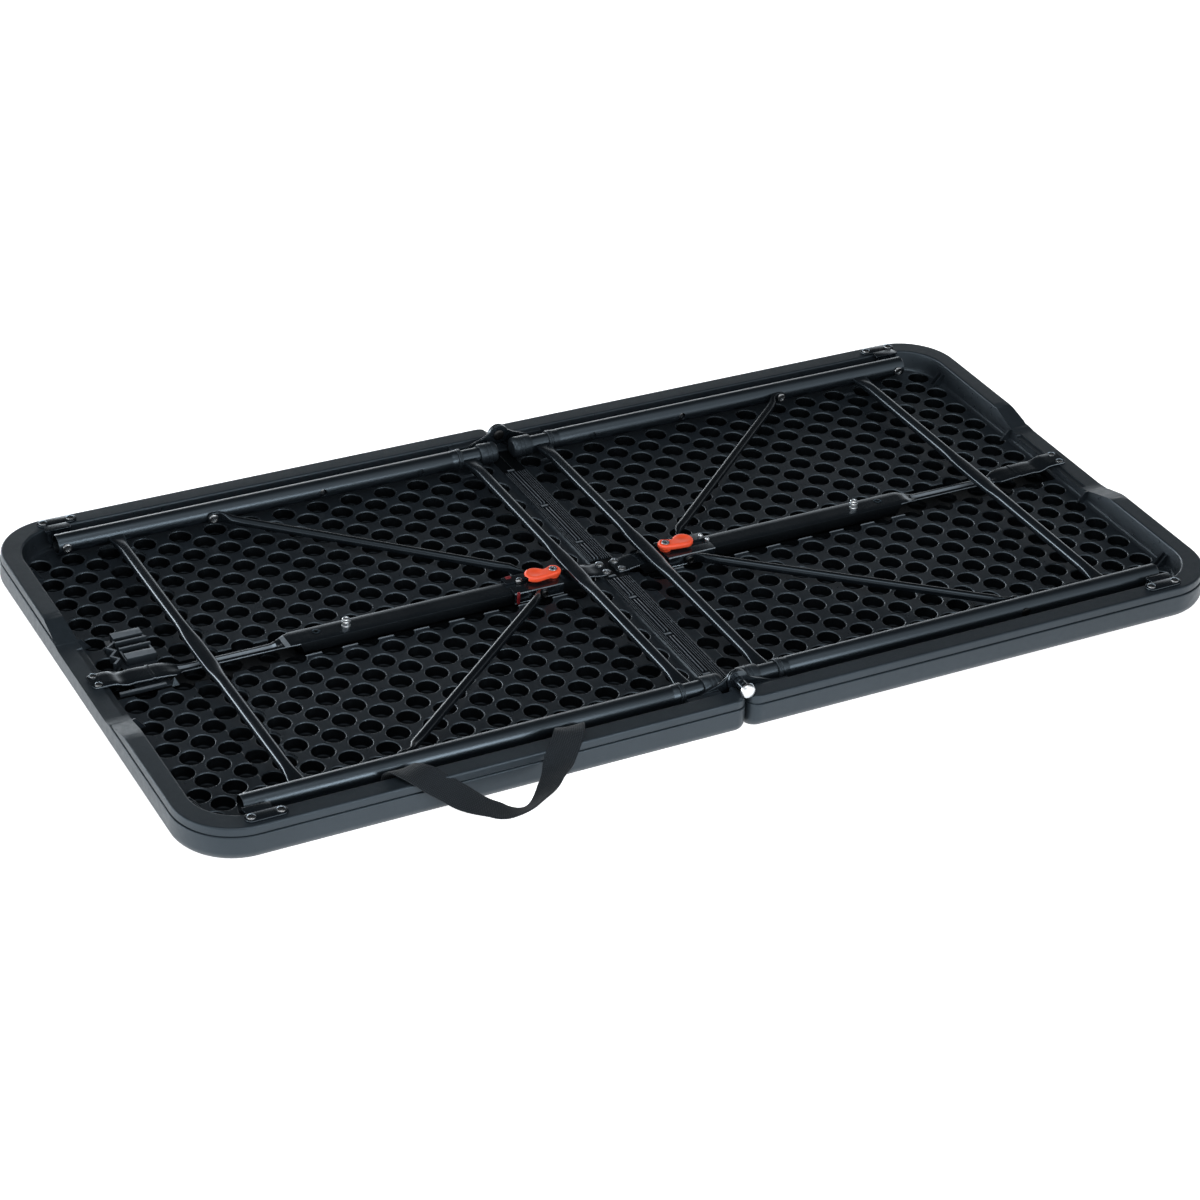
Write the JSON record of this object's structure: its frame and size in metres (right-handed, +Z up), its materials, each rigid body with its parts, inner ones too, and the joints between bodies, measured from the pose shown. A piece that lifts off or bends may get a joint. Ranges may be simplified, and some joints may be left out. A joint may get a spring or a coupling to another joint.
{
  "type": "folding table",
  "caption": "Fold-in-half moulded camping table resting on its top, with folding braced steel leg frames, telescoping feet, latch levers, centre hinges and a carrying strap.",
  "frame": {"origin": "on the floor under the centre seam, midway across the width; the worktop's face is the plane Z = 0", "axes": "+X along the table, away from the seam towards the right half; +Y across the table, away from the side with the carrying strap; +Z up, out of the worktop's underside, because the stored table lies on its top"},
  "size_m": [1.2, 0.6713, 0.0564],
  "materials": {
    "hdpe_black": "fine-grained satin black moulded polyethylene",
    "powder_coated_steel": "smooth semi-gloss black powder coat",
    "zinc_plated_steel": "bright zinc plate",
    "nylon_black": "satin black injection moulding",
    "lever_red": "bright orange-red injection moulding",
    "webbing_black": "ribbed woven polypropylene webbing"
  },
  "bodies": {
    "tabletop_right": {"top_right": "hdpe_black", "support_rail_right": "powder_coated_steel", "rail_pin_right": "zinc_plated_steel", "leg_bracket_right_back": "powder_coated_steel", "leg_pivot_pin_right_back": "zinc_plated_steel", "hinge_leaf_right_back": "powder_coated_steel", "leg_bracket_right_front": "powder_coated_steel", "leg_pivot_pin_right_front": "zinc_plated_steel", "hinge_leaf_right_front": "powder_coated_steel", "hinge_bolt_back": "zinc_plated_steel", "hinge_bolt_front": "zinc_plated_steel"},
    "leg_frame_right": {"outer_crossbar_right": "powder_coated_steel", "outer_leg_tube_right_back": "powder_coated_steel", "tube_collar_right_back": "nylon_black", "brace_rivet_right_back": "zinc_plated_steel", "outer_leg_tube_right_front": "powder_coated_steel", "tube_collar_right_front": "nylon_black", "brace_rivet_right_front": "zinc_plated_steel"},
    "leg_extension_right": {"inner_crossbar_right": "powder_coated_steel", "inner_leg_tube_right_back": "powder_coated_steel", "foot_cap_right_back": "nylon_black", "inner_leg_tube_right_front": "powder_coated_steel", "foot_cap_right_front": "nylon_black"},
    "slider_right": {"brace_slider_right": "powder_coated_steel", "lever_rivet_right": "zinc_plated_steel"},
    "lever_right": {"latch_lever_right": "lever_red"},
    "strut_right_back": {"brace_strut_right_back": "powder_coated_steel"},
    "button_right_back": {"snap_button_right_back": "zinc_plated_steel"},
    "strut_right_front": {"brace_strut_right_front": "powder_coated_steel"},
    "button_right_front": {"snap_button_right_front": "zinc_plated_steel"},
    "tabletop_left": {"top_left": "hdpe_black", "support_rail_left": "powder_coated_steel", "rail_pin_left": "zinc_plated_steel", "leg_bracket_left_back": "powder_coated_steel", "leg_pivot_pin_left_back": "zinc_plated_steel", "hinge_leaf_left_back": "powder_coated_steel", "leg_bracket_left_front": "powder_coated_steel", "leg_pivot_pin_left_front": "zinc_plated_steel", "hinge_leaf_left_front": "powder_coated_steel", "end_catch_left": "nylon_black", "carry_strap": "webbing_black"},
    "leg_frame_left": {"outer_crossbar_left": "powder_coated_steel", "outer_leg_tube_left_back": "powder_coated_steel", "tube_collar_left_back": "nylon_black", "brace_rivet_left_back": "zinc_plated_steel", "outer_leg_tube_left_front": "powder_coated_steel", "tube_collar_left_front": "nylon_black", "brace_rivet_left_front": "zinc_plated_steel"},
    "leg_extension_left": {"inner_crossbar_left": "powder_coated_steel", "inner_leg_tube_left_back": "powder_coated_steel", "foot_cap_left_back": "nylon_black", "inner_leg_tube_left_front": "powder_coated_steel", "foot_cap_left_front": "nylon_black"},
    "slider_left": {"brace_slider_left": "powder_coated_steel", "lever_rivet_left": "zinc_plated_steel"},
    "lever_left": {"latch_lever_left": "lever_red"},
    "strut_left_back": {"brace_strut_left_back": "powder_coated_steel"},
    "button_left_back": {"snap_button_left_back": "zinc_plated_steel"},
    "strut_left_front": {"brace_strut_left_front": "powder_coated_steel"},
    "button_left_front": {"snap_button_left_front": "zinc_plated_steel"}
  },
  "joints": [
    {"name": "centre_fold", "type": "hinge", "parent": "tabletop_right", "child": "tabletop_left", "pos_m": [0, 0, 0.0445], "axis": [0, 1, 0], "range_deg": [0, 180]},
    {"name": "leg_fold_right", "type": "hinge", "parent": "tabletop_right", "child": "leg_frame_right", "pos_m": [0.525, 0, 0.0322], "axis": [0, -1, 0], "range_deg": [-90, 0]},
    {"name": "leg_extension_right", "type": "slide", "parent": "leg_frame_right", "child": "leg_extension_right", "axis": [-1, 0, 0], "range_m": [0, 0.1181]},
    {"name": "slider_travel_right", "type": "slide", "parent": "tabletop_right", "child": "slider_right", "axis": [-1, 0, 0], "range_m": [-0.23, 0]},
    {"name": "lever_swing_right", "type": "hinge", "parent": "slider_right", "child": "lever_right", "pos_m": [0.0688, 0, 0.033], "axis": [0, 0, 1], "range_deg": [0, 16], "stiffness_Nm_per_rad": 0.05},
    {"name": "strut_pivot_right_back", "type": "hinge", "parent": "leg_frame_right", "child": "strut_right_back", "pos_m": [0.359, 0.247, 0.0322], "axis": [0, -1, 0], "range_deg": [0, 128.5]},
    {"name": "button_press_right_back", "type": "slide", "parent": "leg_extension_right", "child": "button_right_back", "axis": [0, 1, 0], "range_m": [-0.0022, 0], "stiffness_N_per_m": 200, "springref_m": -0.0022},
    {"name": "strut_pivot_right_front", "type": "hinge", "parent": "leg_frame_right", "child": "strut_right_front", "pos_m": [0.359, -0.247, 0.0322], "axis": [0, -1, 0], "range_deg": [0, 128.5]},
    {"name": "button_press_right_front", "type": "slide", "parent": "leg_extension_right", "child": "button_right_front", "axis": [0, -1, 0], "range_m": [-0.0022, 0], "stiffness_N_per_m": 200, "springref_m": -0.0022},
    {"name": "leg_fold_left", "type": "hinge", "parent": "tabletop_left", "child": "leg_frame_left", "pos_m": [-0.525, 0, 0.0322], "axis": [0, 1, 0], "range_deg": [-90, 0]},
    {"name": "leg_extension_left", "type": "slide", "parent": "leg_frame_left", "child": "leg_extension_left", "axis": [1, 0, 0], "range_m": [0, 0.1181]},
    {"name": "slider_travel_left", "type": "slide", "parent": "tabletop_left", "child": "slider_left", "axis": [1, 0, 0], "range_m": [-0.23, 0]},
    {"name": "lever_swing_left", "type": "hinge", "parent": "slider_left", "child": "lever_left", "pos_m": [-0.0688, 0, 0.033], "axis": [0, 0, -1], "range_deg": [0, 16], "stiffness_Nm_per_rad": 0.05},
    {"name": "strut_pivot_left_back", "type": "hinge", "parent": "leg_frame_left", "child": "strut_left_back", "pos_m": [-0.359, 0.247, 0.0322], "axis": [0, 1, 0], "range_deg": [0, 128.5]},
    {"name": "button_press_left_back", "type": "slide", "parent": "leg_extension_left", "child": "button_left_back", "axis": [0, 1, 0], "range_m": [-0.0022, 0], "stiffness_N_per_m": 200, "springref_m": -0.0022},
    {"name": "strut_pivot_left_front", "type": "hinge", "parent": "leg_frame_left", "child": "strut_left_front", "pos_m": [-0.359, -0.247, 0.0322], "axis": [0, 1, 0], "range_deg": [0, 128.5]},
    {"name": "button_press_left_front", "type": "slide", "parent": "leg_extension_left", "child": "button_left_front", "axis": [0, -1, 0], "range_m": [-0.0022, 0], "stiffness_N_per_m": 200, "springref_m": -0.0022}
  ],
  "couplings": [
    {"joint": "leg_extension_right", "follows": "leg_fold_right", "m_per_rad": -0.07512},
    {"joint": "slider_travel_right", "follows": "leg_fold_right", "m_per_rad": 0.14636},
    {"joint": "strut_pivot_right_back", "follows": "leg_fold_right", "ratio": -1.4267},
    {"joint": "strut_pivot_right_front", "follows": "leg_fold_right", "ratio": -1.4267},
    {"joint": "leg_extension_left", "follows": "leg_fold_left", "m_per_rad": -0.07512},
    {"joint": "slider_travel_left", "follows": "leg_fold_left", "m_per_rad": 0.14636},
    {"joint": "strut_pivot_left_back", "follows": "leg_fold_left", "ratio": -1.4267},
    {"joint": "strut_pivot_left_front", "follows": "leg_fold_left", "ratio": -1.4267}
  ]
}
